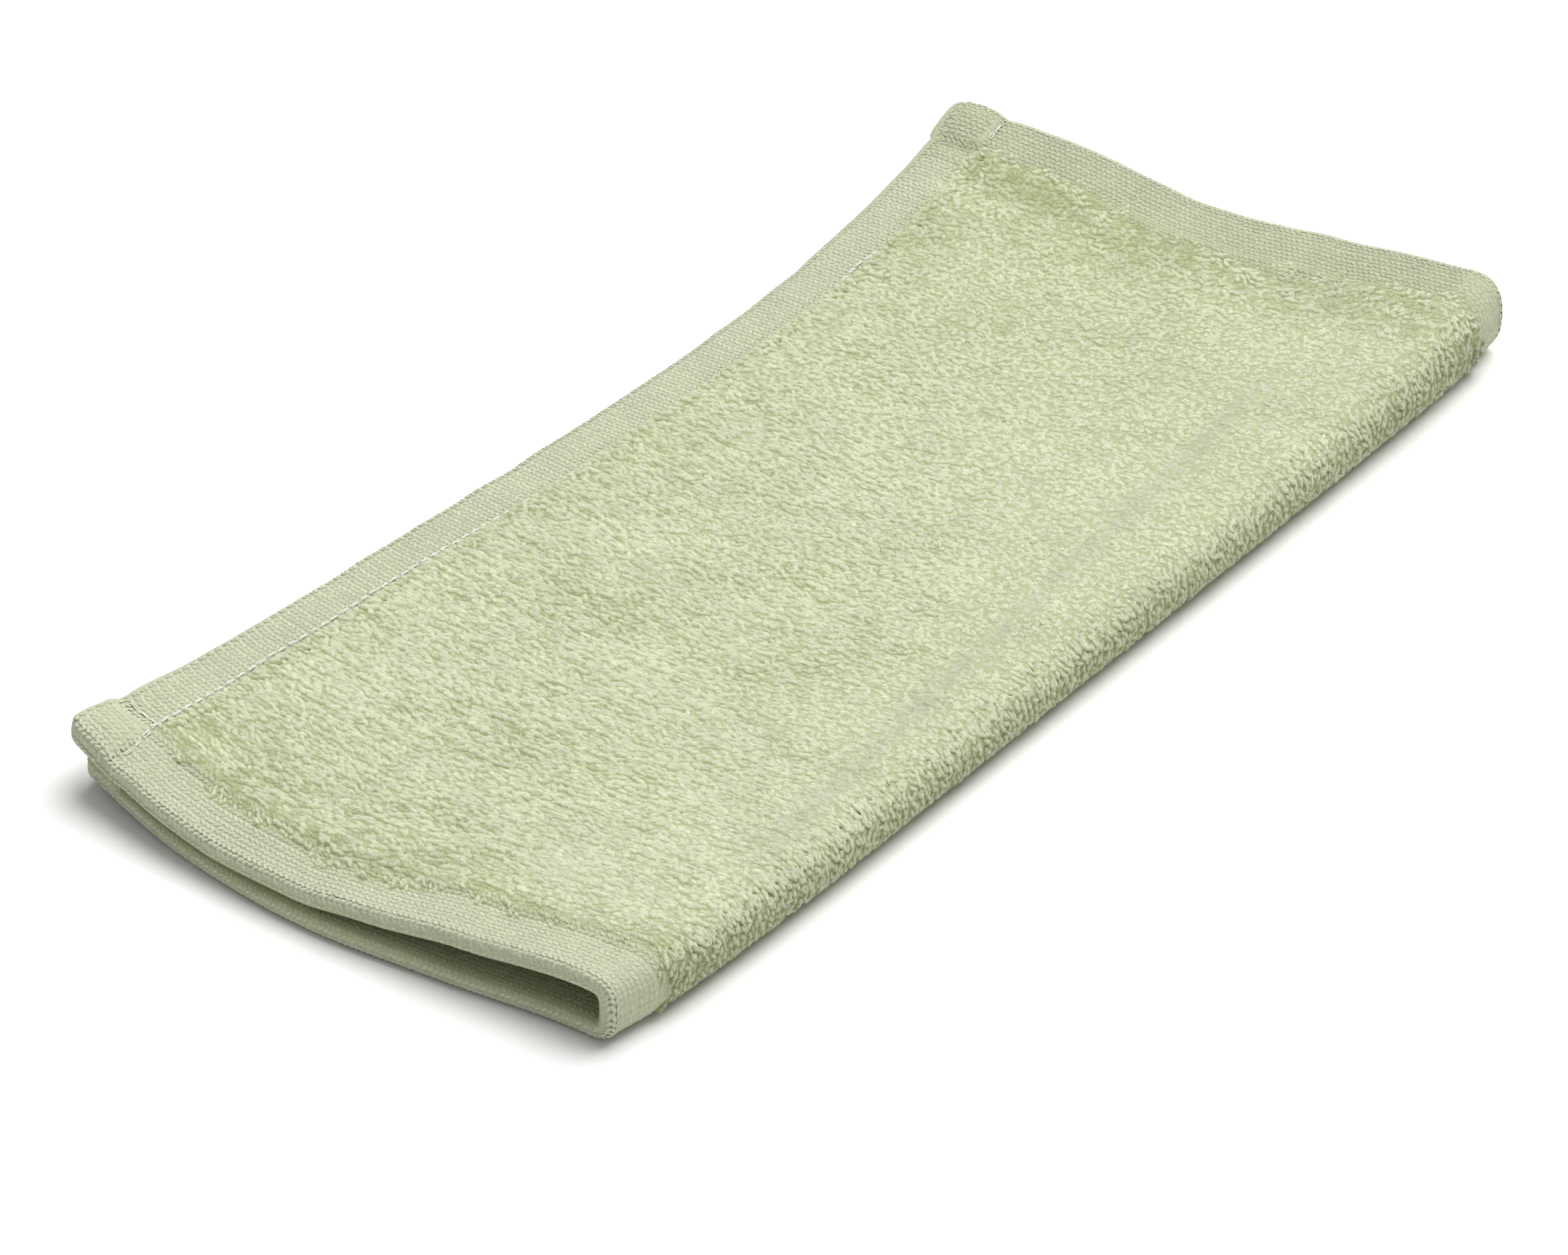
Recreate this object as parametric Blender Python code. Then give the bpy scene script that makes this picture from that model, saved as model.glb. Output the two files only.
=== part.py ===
# Terry hand towel, folded once along its length and lying flat.
# One piece of cloth with hems all round: a low layer on the surface, a round
# fold at +X, and a top layer that comes back over it to the free hems at -X.
# X runs across the folded width, Y along the towel, Z up. The origin is at the
# middle of the footprint, on the surface.

import bmesh
import bpy
import numpy as np

MM = 0.001

CLOTH_LENGTH = 300 * MM     # from short hem to short hem at the corners
PILE_THICK = 4.6 * MM       # knitted ground and the loops on its outer face
HEM_THICK = 4.1 * MM        # the ground turned over on itself
PATCH_THICK = 5.4 * MM      # the corners, where two hems cross
HEM_STEP = 0.6 * MM         # how far the hems lie below the tips of the loops
PATCH_RISE = 0.8 * MM       # how far a corner stands above the hems next to it
SIDE_HEM = 11.5 * MM        # width of the hems along the free long edges
END_HEM = 13.0 * MM         # width of the hems along the two short ends
HEM_BLEND = 2.0 * MM        # distance over which hem turns into pile
EDGE_ROUND = 1.9 * MM       # rounding of every turned edge
EDGE_THIN = 0.3             # share of the thickness left at the very edge
CORNER_ROUND = 4.0 * MM     # rounding of the corners seen from above
FOLD_DEPTH = 5.0 * MM       # how far the fold reaches past the flat layers
LOW_INSET = 2.5 * MM        # the low free edge lies this far under the top one
LIFT_REACH = 22 * MM        # how far in from the free edge a lifted corner fades

HEM_COLUMNS = 2             # faces across a hem, past its rounded edge
FIELD_COLUMNS = 10          # faces across the pile of one layer
FOLD_COLUMNS = 9            # points round the fold
FIELD_ROWS = 20             # faces along the pile

# A row for each cross-section, from the near end to the far one, in mm.
# The heights are those of the upper face: at the free edge, at the quarters
# of the width, and at the shoulder where the cloth turns down into the fold.
# Lift is how far the low layer's free edge is off the surface. Square is the
# shape of the fold: 2 is an ellipse, and more is boxier.
SECTION_COLUMNS = ("y", "free_x", "fold_x", "edge", "quarter", "middle",
                   "three_quarter", "shoulder", "lift", "square")
SECTIONS = (
    (-150, -72.6, 67.0, 15.8, 10.2, 9.5, 12.8, 15.6, 2.5, 3.2),
    (-136, -71.2, 69.6, 14.2, 10.8, 10.4, 12.6, 15.0, 1.0, 2.6),
    (-112, -69.3, 71.2, 12.4, 11.0, 11.0, 12.2, 14.0, 0.0, 2.2),
    (-86, -67.7, 71.8, 11.2, 11.3, 11.5, 11.9, 13.4, 0.0, 2.1),
    (-60, -66.4, 72.0, 10.4, 11.4, 11.7, 11.9, 13.0, 0.0, 2.0),
    (-7, -62.7, 72.2, 9.9, 11.6, 11.9, 11.9, 13.0, 0.0, 2.0),
    (50, -60.7, 72.6, 9.9, 11.6, 11.8, 12.0, 13.4, 0.0, 2.0),
    (82, -61.5, 72.6, 10.4, 11.3, 11.6, 12.4, 14.0, 0.0, 2.0),
    (101, -63.0, 72.6, 11.2, 11.2, 11.4, 12.4, 14.8, 0.0, 2.1),
    (120, -64.6, 72.4, 12.4, 11.4, 11.0, 12.4, 16.0, 0.6, 2.3),
    (137, -66.4, 71.4, 14.4, 12.8, 11.6, 13.6, 17.6, 1.2, 2.6),
    (150, -68.4, 69.6, 16.0, 14.8, 12.6, 15.4, 18.8, 1.6, 2.8),
)

# A row for each place round the girth: 0 is the top free edge, 1 the fold and
# 2 the low free edge. The short ends of the cloth lie at these y, in mm.
END_COLUMNS = ("girth", "near_y", "far_y")
ENDS = (
    (0.00, -148.0, 148.0),
    (0.25, -154.8, 150.8),
    (0.50, -157.0, 150.2),
    (0.75, -154.5, 152.5),
    (1.00, -152.0, 154.2),
    (1.25, -155.5, 153.5),
    (1.50, -158.0, 152.0),
    (1.75, -154.5, 151.0),
    (2.00, -146.5, 147.5),
)

# A row for each soft trough or swell of the top layer: its middle, how far it
# reaches along X and along Y, and its height, in mm.
SWELL_COLUMNS = ("x", "y", "reach_x", "reach_y", "height")
SWELLS = (
    (-38, 127, 20, 7, -1.0),    # the trough before the far hem, deepest near the free edge
    (40, 127, 20, 7, -1.0),     # its other end, near the fold
    (10, 124, 9, 8, 0.5),       # the swell that parts the two
    (-22, 103, 30, 8, -0.5),
    (34, 38, 26, 38, 0.7),
    (-37, -20, 15, 10, -0.5),
    (12, -48, 24, 12, -0.5),
    (28, -118, 26, 14, 0.6),
    (-44, -128, 12, 10, -0.5),
)

TOP, FOLD, LOW = 0, 1, 2
STATIONS = (0.0, 0.25, 0.5, 0.75, 1.0)


def ease(t):
    """0 to 1 with a level start and finish."""
    t = np.clip(t, 0.0, 1.0)
    return t * t * (3.0 - 2.0 * t)


def curve_through(x, xs, ys):
    """A smooth curve through the table's points (xs, ys), read at x."""
    xs, ys = np.asarray(xs, float), np.asarray(ys, float)
    step = np.diff(xs)
    rise = np.diff(ys) / step
    slope = np.empty_like(ys)
    slope[0], slope[-1] = rise[0], rise[-1]
    slope[1:-1] = (rise[:-1] * step[1:] + rise[1:] * step[:-1]) / (step[:-1] + step[1:])
    x = np.clip(x, xs[0], xs[-1])
    i = np.clip(np.searchsorted(xs, x, side="right") - 1, 0, len(xs) - 2)
    t = (x - xs[i]) / step[i]
    start = (2 * t**3 - 3 * t**2 + 1) * ys[i] + (t**3 - 2 * t**2 + t) * step[i] * slope[i]
    finish = (3 * t**2 - 2 * t**3) * ys[i + 1] + (t**3 - t**2) * step[i] * slope[i + 1]
    return start + finish


def sections_at(y):
    """Each column of SECTIONS at the given y, in metres but for the squareness."""
    table = np.array(SECTIONS, float).T
    found = {}
    for name, column in zip(SECTION_COLUMNS[1:], table[1:]):
        found[name] = curve_through(y / MM, table[0], column)
        if name != "square":
            found[name] = found[name] * MM
    return found


def swell_heights(x, y):
    """Height that the troughs and swells add at a point, in metres."""
    total = np.zeros(x.shape)
    for middle_x, middle_y, reach_x, reach_y, height in SWELLS:
        away = ((x / MM - middle_x) / reach_x) ** 2 + ((y / MM - middle_y) / reach_y) ** 2
        total += height * np.exp(-away)
    return total * MM


def edge_steps(hem_width):
    """Distances from an edge over its rounding and its hem, and on to the pile."""
    rounding = [0.0, 0.25 * EDGE_ROUND, EDGE_ROUND]
    hem = list(np.linspace(EDGE_ROUND, hem_width - HEM_BLEND / 2, HEM_COLUMNS + 1)[1:])
    return rounding + hem + [hem_width + HEM_BLEND / 2]


def girth_columns():
    """(zone, distance from the free edge, share of the rest) round the girth."""
    hem = edge_steps(SIDE_HEM)
    layer = [(distance, 0.0) for distance in hem]
    layer += [(hem[-1], k / FIELD_COLUMNS) for k in range(1, FIELD_COLUMNS + 1)]
    top = [(TOP, distance, share) for distance, share in layer]
    fold = [(FOLD, 0.0, k / (FOLD_COLUMNS + 1)) for k in range(1, FOLD_COLUMNS + 1)]
    low = [(LOW, distance, share) for distance, share in reversed(layer)]
    return np.array(top + fold + low)


def length_rows():
    """Shares of the length, 0 at the near end and 1 at the far end."""
    near = edge_steps(END_HEM)
    far = [CLOTH_LENGTH - distance for distance in reversed(near)]
    field = np.linspace(near[-1], far[0], FIELD_ROWS + 1)[1:-1]
    return np.array(near + list(field) + far) / CLOTH_LENGTH


def hem_shares(from_side, from_end):
    """How much of a point belongs to a side hem and to an end hem, 0 to 1."""
    side = 1.0 - ease((from_side - SIDE_HEM) / HEM_BLEND + 0.5)
    end = 1.0 - ease((from_end - END_HEM) / HEM_BLEND + 0.5)
    return side, end


def full_thickness(side, end):
    hem = np.maximum(side, end)
    return PILE_THICK + (HEM_THICK - PILE_THICK) * hem + (PATCH_THICK - HEM_THICK) * side * end


def edge_rounding(from_side, from_end):
    """Share of the thickness that is left close to a turned edge."""
    depth = np.clip(1.0 - np.minimum(from_side, from_end) / EDGE_ROUND, 0.0, 1.0)
    return EDGE_THIN + (1.0 - EDGE_THIN) * np.sqrt(1.0 - depth**2)


def lay_cloth(columns, rows):
    """Middle surface, outward normals and thickness on a grid of rows by columns."""
    zone, fixed, share = columns.T
    top, low = zone == TOP, zone == LOW
    table = {name: values[:, None] for name, values in
             sections_at((rows - 0.5) * CLOTH_LENGTH).items()}
    from_end = np.minimum(rows, 1.0 - rows)[:, None] * CLOTH_LENGTH

    top_width = table["fold_x"] - PILE_THICK / 2 - FOLD_DEPTH - table["free_x"]
    low_width = top_width - LOW_INSET
    hem = SIDE_HEM + HEM_BLEND / 2
    width = np.where(low, low_width, top_width)
    from_side = np.where(zone == FOLD, width, fixed + share * (width - hem))
    side, end = hem_shares(from_side, from_end)
    full = full_thickness(side, end)
    thick = full * edge_rounding(from_side, from_end)

    # The short ends, with rounded corners at the free edges.
    across = np.clip(from_side / top_width, 0.0, 1.0)
    girth = np.where(top, across, np.where(low, 2.0 - from_side / low_width, 1.0))
    ends = np.array(ENDS).T
    corner = np.clip(1.0 - from_side / CORNER_ROUND, 0.0, 1.0)
    drawn_in = CORNER_ROUND * (1.0 - np.sqrt(1.0 - corner**2))
    near = curve_through(girth, ends[0], ends[1]) * MM + drawn_in
    far = curve_through(girth, ends[0], ends[2]) * MM - drawn_in
    along_y = near + rows[:, None] * (far - near)

    # Top layer: the upper face follows the table's five heights and the swells.
    heights = np.concatenate([table[name] for name in SECTION_COLUMNS[3:8]], axis=1)
    face = np.array([curve_through(a, STATIONS, h) for a, h in zip(across, heights)])
    face = face - HEM_STEP * np.maximum(side, end) + PATCH_RISE * side * end
    top_x = table["free_x"] + from_side
    top_z = face - full / 2 + swell_heights(top_x, along_y)

    # Low layer: flat on the surface, but for its lifted corners.
    low_x = table["free_x"] + LOW_INSET + from_side
    low_z = full / 2 + table["lift"] * np.exp(-((from_side / LIFT_REACH) ** 2))

    # Fold: half of a squared ellipse between the two layers.
    last_top, first_low = np.flatnonzero(top)[-1], np.flatnonzero(low)[0]
    high, bottom = top_z[:, [last_top]], low_z[:, [first_low]]
    fold_start = table["fold_x"] - full[:, [last_top]] / 2 - FOLD_DEPTH
    turn = np.pi * (0.5 - share)
    power = 2.0 / table["square"]
    fold_x = fold_start + FOLD_DEPTH * np.abs(np.cos(turn)) ** power
    fold_z = (high + bottom) / 2 + (high - bottom) / 2 * np.sign(np.sin(turn)) * (
        np.abs(np.sin(turn)) ** power)

    middle = np.zeros(face.shape + (3,))
    middle[..., 0] = np.where(top, top_x, np.where(low, low_x, fold_x))
    middle[..., 1] = along_y
    middle[..., 2] = np.where(top, top_z, np.where(low, low_z, fold_z))

    along = np.gradient(middle, axis=1)
    normal = np.stack([-along[..., 2], np.zeros(face.shape), along[..., 0]], axis=-1)
    normal /= np.linalg.norm(normal, axis=-1, keepdims=True)
    return middle, normal, thick


def closed_cloth(columns, rows):
    """Vertices and faces of the cloth: outer face, inner face and the edge between."""
    middle, normal, thick = lay_cloth(columns, rows)
    outer = middle + normal * thick[..., None] / 2
    inner = middle - normal * thick[..., None] / 2
    outer[..., 2] = np.maximum(outer[..., 2], 0.0)
    vertices = np.concatenate([outer.reshape(-1, 3), inner.reshape(-1, 3)])
    centre = (vertices.min(axis=0) + vertices.max(axis=0)) / 2
    vertices[:, :2] -= centre[:2]

    count = len(rows) * len(columns)
    index = np.arange(count).reshape(len(rows), len(columns))
    corners = (index[:-1, :-1], index[1:, :-1], index[1:, 1:], index[:-1, 1:])
    quads = np.stack(corners, axis=-1).reshape(-1, 4)
    edge = np.concatenate([index[0, :-1], index[:-1, -1], index[-1, :0:-1], index[:0:-1, 0]])
    following = np.roll(edge, -1)
    rim = np.stack([edge, following, following + count, edge + count], axis=-1)
    faces = np.concatenate([quads[:, ::-1], quads + count, rim])
    return vertices, faces


def towel_material():
    material = bpy.data.materials.new("pale green terry")
    material.use_nodes = True
    shader = material.node_tree.nodes["Principled BSDF"]
    shader.inputs["Base Color"].default_value = (0.62, 0.69, 0.46, 1.0)
    shader.inputs["Roughness"].default_value = 0.95
    shader.inputs["Metallic"].default_value = 0.0
    return material


def make_towel(collection):
    vertices, faces = closed_cloth(girth_columns(), length_rows())
    mesh = bpy.data.meshes.new("folded_towel")
    mesh.from_pydata(vertices.tolist(), [], faces.tolist())
    cloth = bmesh.new()
    cloth.from_mesh(mesh)
    bmesh.ops.recalc_face_normals(cloth, faces=cloth.faces)
    cloth.to_mesh(mesh)
    cloth.free()
    mesh.shade_smooth()
    mesh.materials.append(towel_material())
    towel = bpy.data.objects.new("folded_towel", mesh)
    collection.objects.link(towel)
    return towel


def main():
    for thing in list(bpy.data.objects):
        bpy.data.objects.remove(thing, do_unlink=True)
    collection = bpy.data.collections.new("hand_towel")
    bpy.context.scene.collection.children.link(collection)
    make_towel(collection)


main()
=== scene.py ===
# Folded terry hand towel: the cloth, its pile of yarn loops, the knitted hems
# and the sewing, worked out on the same folds as the solid underneath.
# All sizes are in millimetres until a mesh is made.
import math
import bpy
import numpy as np
from mathutils import Matrix


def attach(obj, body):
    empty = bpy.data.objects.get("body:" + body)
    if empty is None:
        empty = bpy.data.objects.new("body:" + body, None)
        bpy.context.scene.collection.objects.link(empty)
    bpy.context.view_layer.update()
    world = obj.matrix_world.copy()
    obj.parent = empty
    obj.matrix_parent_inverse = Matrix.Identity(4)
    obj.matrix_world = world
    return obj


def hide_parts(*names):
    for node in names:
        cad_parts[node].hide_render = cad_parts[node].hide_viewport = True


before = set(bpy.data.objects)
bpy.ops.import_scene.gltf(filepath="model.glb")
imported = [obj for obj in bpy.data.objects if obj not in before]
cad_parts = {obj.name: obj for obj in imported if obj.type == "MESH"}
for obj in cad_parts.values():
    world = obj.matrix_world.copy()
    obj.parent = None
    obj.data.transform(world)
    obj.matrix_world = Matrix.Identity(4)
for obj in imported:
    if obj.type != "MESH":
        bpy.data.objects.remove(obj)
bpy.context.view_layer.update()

mm = 0.001
print("towel: solid loaded")

# The cloth: lengths along Y, girth from the top free edge (0) over the fold
cloth = {
    "length": 300.0,
    "pileThick": 4.6,       # ground and loops together
    "hemThick": 4.1,
    "patchThick": 5.4,      # corners, where two hems cross
    "hemStep": 0.6,         # hems lie this far below the loop tips
    "patchRise": 0.8,
    "sideHem": 11.5,
    "endHem": 13.0,
    "hemBlend": 2.0,
    "edgeRound": 1.9,
    "edgeThin": 0.3,
    "cornerRound": 4.0,
    "foldDepth": 5.0,
    "lowInset": 2.5,
    "liftReach": 22.0,
    "pileDrop": 0.38,       # the ground lies this far below the loop tips
    "knitDrop": 0.25,       # and this far below the tops of the knitted stitches
    "layerGirth": 130.0,    # girth of one flat layer, at its mean width
    "foldGirth": 22.0,      # girth of the outer face of the fold
    "ripple": 0.16,         # height of the small unevenness of the cloth
    "rippleWave": 17.0,
    "mapSize": 320.0,       # length of cloth that its UV map holds
    "flat": (290.0, 305.0),     # what it was cut to, hems turned
}

# y, free edge, fold, then the upper face: at the edge, the quarters and the
# shoulder; lift of the low free edge; squareness of the fold
sectionNames = ("y", "freeX", "foldX", "edge", "quarter", "middle", "threeQuarter",
                "shoulder", "lift", "square")
sections = (
    (-150, -72.6, 67.0, 15.8, 10.2, 9.5, 12.8, 15.6, 2.5, 3.2),
    (-136, -71.2, 69.6, 14.2, 10.8, 10.4, 12.6, 15.0, 1.0, 2.6),
    (-112, -69.3, 71.2, 12.4, 11.0, 11.0, 12.2, 14.0, 0.0, 2.2),
    (-86, -67.7, 71.8, 11.2, 11.3, 11.5, 11.9, 13.4, 0.0, 2.1),
    (-60, -66.4, 72.0, 10.4, 11.4, 11.7, 11.9, 13.0, 0.0, 2.0),
    (-7, -62.7, 72.2, 9.9, 11.6, 11.9, 11.9, 13.0, 0.0, 2.0),
    (50, -60.7, 72.6, 9.9, 11.6, 11.8, 12.0, 13.4, 0.0, 2.0),
    (82, -61.5, 72.6, 10.4, 11.3, 11.6, 12.4, 14.0, 0.0, 2.0),
    (101, -63.0, 72.6, 11.2, 11.2, 11.4, 12.4, 14.8, 0.0, 2.1),
    (120, -64.6, 72.4, 12.4, 11.4, 11.0, 12.4, 16.0, 0.6, 2.3),
    (137, -66.4, 71.4, 14.4, 12.8, 11.6, 13.6, 17.6, 1.2, 2.6),
    (150, -68.4, 69.6, 16.0, 14.8, 12.6, 15.4, 18.8, 1.6, 2.8),
)

# girth (0 top free edge, 1 fold, 2 low free edge), near end, far end
ends = (
    (0.00, -148.0, 148.0), (0.25, -154.8, 150.8), (0.50, -157.0, 150.2),
    (0.75, -154.5, 152.5), (1.00, -152.0, 154.2), (1.25, -155.5, 153.5),
    (1.50, -158.0, 152.0), (1.75, -154.5, 151.0), (2.00, -146.5, 147.5),
)

# x, y, reach along x, reach along y, height of each soft trough or swell
swells = (
    (-38, 127, 20, 7, -1.0), (40, 127, 20, 7, -1.0), (10, 124, 9, 8, 0.5),
    (-22, 103, 30, 8, -0.5), (34, 38, 26, 38, 0.7), (-37, -20, 15, 10, -0.5),
    (12, -48, 24, 12, -0.5), (28, -118, 26, 14, 0.6), (-44, -128, 12, 10, -0.5),
    (-66, -143, 5, 5, 0.9), (-58.5, -151, 2.2, 5, -0.7), (-67, -134, 6, 1.8, -0.6),
    (-62, 144, 5, 5, 0.7), (-56, 148, 2.2, 6, -0.6), (-62, 135.5, 6, 1.8, -0.5),
)
topZone, foldZone, lowZone = 0, 1, 2

# girth, and how far from the near and the far end the pile begins there
borders = (
    (0, 16.5, 15.0), (16, 15.3, 13.0), (26, 13.1, 12.5), (45, 11.7, 13.8), (60, 10.6, 16.0),
    (75, 9.6, 17.0), (82, 11.3, 17.0), (92, 13.4, 16.6), (105, 12.9, 13.7), (114, 12.9, 12.6),
    (121, 14.2, 12.2), (132, 14.6, 12.0), (152, 13.0, 13.0), (290, 13.0, 13.0),
)

# x, y, reach along x, reach along y: patches of painted shade over the pile, darker and greener,
# and of painted light, paler (below 0); the same patches also sink the loops a little
paintedShades = (
    (-40, 131, 13, 5, 1.2), (-30, 130, 9, 4.5, 0.6), (-8, 129, 12, 5.5, 0.8), (4, 130, 8, 4, 0.4),
    (30, 124, 14, 6, 0.7), (50, 131, 12, 7, 0.8), (60, 139, 6, 6, 0.6), (-46, 104, 7, 10, 0.6),
    (-20, 119, 24, 9, 0.45), (-44, -139, 5, 3, 0.8), (-31, -142, 5, 2.5, 0.7),
    (-11, -144, 7, 2.2, 0.6), (3, -143.5, 5, 2, 0.9), (9, -136, 6, 3, 0.6), (20, -133, 7, 3, 0.6),
    (25, -139.5, 6, 2.2, 0.8), (34, -138.5, 6, 2.2, 0.6), (43, -137.5, 6, 2.2, 0.35),
    (59, -134, 6, 3, 0.3), (-52, -129, 5, 9, 0.5), (-36, -128, 9, 7, 0.3), (-41, 3, 7, 13, 0.35),
    (-16, -50, 13, 6, 0.3), (10, -50, 11, 5, 0.3), (30, -42, 10, 15, 0.3), (48, -28, 9, 9, 0.3),
    (5, -95, 17, 6, 0.25), (22, -95, 9, 6, 0.3), (8, 48, 20, 32, -0.35), (40, 30, 17, 28, -0.3),
    (38, -125, 10, 9, -0.5), (-30, -93, 11, 12, -0.25), (-25, -19, 9, 9, -0.2),
    (0, 85, 70, 50, 0.22), (20, -10, 60, 40, 0.1),
)


# 3 t squared less 2 t cubed, between 0 and 1
def smoothStep(t):
    t = np.clip(t, 0.0, 1.0)
    return t * t * (3.0 - 2.0 * t)


# A cubic through the table's points, whose slope at each is the mean of the
# slopes on its two sides, weighted by the other side's length
def curveThrough(x, xs, ys):
    xs, ys = np.asarray(xs, float), np.asarray(ys, float)
    step = np.diff(xs)
    rise = np.diff(ys) / step
    slope = np.empty_like(ys)
    slope[0], slope[-1] = rise[0], rise[-1]
    slope[1:-1] = (rise[:-1] * step[1:] + rise[1:] * step[:-1]) / (step[:-1] + step[1:])
    x = np.clip(x, xs[0], xs[-1])
    i = np.clip(np.searchsorted(xs, x, side="right") - 1, 0, len(xs) - 2)
    t = (x - xs[i]) / step[i]
    begin = (2 * t**3 - 3 * t**2 + 1) * ys[i] + (t**3 - 2 * t**2 + t) * step[i] * slope[i]
    finish = (3 * t**2 - 2 * t**3) * ys[i + 1] + (t**3 - t**2) * step[i] * slope[i + 1]
    return begin + finish


# Sum of sine waves of about one wavelength, about -1 to 1, in seeded directions that
# go all ways or keep within a spread of y
def unevenness(x, y, wavelength, seed, spread=None, waves=11):
    rng = np.random.default_rng(seed)
    turn = rng.uniform(0, 2 * np.pi, waves)
    if spread is not None:
        turn = np.pi / 2 + rng.uniform(-spread, spread, waves)
    rate = 2 * np.pi / (wavelength * rng.uniform(0.7, 1.5, waves))
    phase = rng.uniform(0, 2 * np.pi, waves)
    total = np.zeros(np.shape(x))
    for a, k, p in zip(turn, rate, phase):
        total += np.sin(k * (np.cos(a) * x + np.sin(a) * y) + p)
    return total / math.sqrt(waves)


# A vector over its own length
def unit(v):
    return v / np.maximum(np.linalg.norm(v, axis=-1, keepdims=True), 1e-12)


# Share of a side hem and of an end hem: 1 on the hem, 0 on the pile, and a smooth
# step between them
def hemShares(fromSide, fromEnd):
    side = 1.0 - smoothStep((fromSide - cloth["sideHem"]) / cloth["hemBlend"] + 0.5)
    end = 1.0 - smoothStep((fromEnd - cloth["endHem"]) / cloth["hemBlend"] + 0.5)
    return side, end


# Middle of the cloth over (girth column, share of the length): flat layers that
# follow the table's heights, joined by half of a squared ellipse
def layCloth(columns, rows):
    zone, fixed, share = columns.T[:3]
    top, low = zone == topZone, zone == lowZone
    yTable = (rows - 0.5) * cloth["length"]
    tableT = np.array(sections, float).T
    at = {n: curveThrough(yTable, tableT[0], c)[:, None]
          for n, c in zip(sectionNames[1:], tableT[1:])}
    fromEnd = np.minimum(rows, 1.0 - rows)[:, None] * cloth["length"]

    topWidth = at["foldX"] - cloth["pileThick"] / 2 - cloth["foldDepth"] - at["freeX"]
    lowWidth = topWidth - cloth["lowInset"]
    hem = cloth["sideHem"] + cloth["hemBlend"] / 2
    width = np.where(low, lowWidth, topWidth)
    fromSide = np.where(zone == foldZone, width, fixed + share * (width - hem))
    side, end = hemShares(fromSide, fromEnd)
    full = (cloth["pileThick"] + (cloth["hemThick"] - cloth["pileThick"]) * np.maximum(side, end)
            + (cloth["patchThick"] - cloth["hemThick"]) * side * end)
    depth = np.clip(1.0 - np.minimum(fromSide, fromEnd) / cloth["edgeRound"], 0.0, 1.0)
    rounding = cloth["edgeThin"] + (1.0 - cloth["edgeThin"]) * np.sqrt(1.0 - depth**2)

    across = np.clip(fromSide / topWidth, 0.0, 1.0)
    girth = np.where(top, across, np.where(low, 2.0 - fromSide / lowWidth, 1.0))
    endTable = np.array(ends).T
    corner = np.clip(1.0 - fromSide / cloth["cornerRound"], 0.0, 1.0)
    drawnIn = cloth["cornerRound"] * (1.0 - np.sqrt(1.0 - corner**2))
    near = curveThrough(girth, endTable[0], endTable[1]) + drawnIn
    far = curveThrough(girth, endTable[0], endTable[2]) - drawnIn
    alongY = near + rows[:, None] * (far - near)

    heights = np.concatenate([at[n] for n in sectionNames[3:8]], axis=1)
    face = np.array([curveThrough(a, (0, 0.25, 0.5, 0.75, 1), h)
                     for a, h in zip(across, heights)])
    face = face - cloth["hemStep"] * np.maximum(side, end) + cloth["patchRise"] * side * end
    topX = at["freeX"] + fromSide
    swell = sum(h * np.exp(-((topX - cx) / rx) ** 2 - ((alongY - cy) / ry) ** 2)
                for cx, cy, rx, ry, h in swells)
    ripple = cloth["ripple"] * unevenness(topX, alongY, cloth["rippleWave"], 5)
    topZ = face - full / 2 + swell + ripple * (zone == topZone)
    lowX = at["freeX"] + cloth["lowInset"] + fromSide
    lowZ = full / 2 + at["lift"] * np.exp(-((fromSide / cloth["liftReach"]) ** 2))

    lastTop, firstLow = np.flatnonzero(top)[-1], np.flatnonzero(low)[0]
    high, bottom = topZ[:, [lastTop]], lowZ[:, [firstLow]]
    foldStart = at["foldX"] - full[:, [lastTop]] / 2 - cloth["foldDepth"]
    turn = np.pi * (0.5 - share)
    power = 2.0 / at["square"]
    foldX = foldStart + cloth["foldDepth"] * np.abs(np.cos(turn)) ** power
    foldZ = (high + bottom) / 2 + (high - bottom) / 2 * np.sign(np.sin(turn)) * (
        np.abs(np.sin(turn)) ** power)

    middle = np.zeros(face.shape + (3,))
    middle[..., 0] = np.where(top, topX, np.where(low, lowX, foldX))
    middle[..., 1] = alongY
    middle[..., 2] = np.where(top, topZ, np.where(low, lowZ, foldZ))
    alongGirth = np.gradient(middle, axis=1)
    normal = unit(np.stack([-alongGirth[..., 2], np.zeros(face.shape), alongGirth[..., 0]], -1))
    return middle, normal, full, rounding, side, end


# Girth columns (zone, distance from the free edge, share of the rest, girth)
def girthColumns(edgeSteps, fieldCount, foldCount):
    hem = cloth["sideHem"] + cloth["hemBlend"] / 2
    layer, bend = cloth["layerGirth"], cloth["foldGirth"]
    flat = [(d, 0.0, d) for d in edgeSteps]
    flat += [(hem, k / fieldCount, hem + (layer - hem) * k / fieldCount)
             for k in range(1, fieldCount + 1)]
    top = [(topZone, d, f, g) for d, f, g in flat]
    fold = [(foldZone, 0.0, k / foldCount, layer + bend * k / foldCount)
            for k in range(1, foldCount)]
    low = [(lowZone, d, f, 2 * layer + bend - g) for d, f, g in reversed(flat)]
    return np.array(top + fold + low)


# Steps inwards over a hem: close together round its turned edge, then even
def hemSteps(hemWidth, step):
    edge = [0.0, 0.12, 0.45, 1.0, cloth["edgeRound"]]
    rest = np.linspace(edge[-1], hemWidth + cloth["hemBlend"] / 2,
                       int((hemWidth - 1) / step) + 1)[1:]
    return edge + list(rest)


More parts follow.
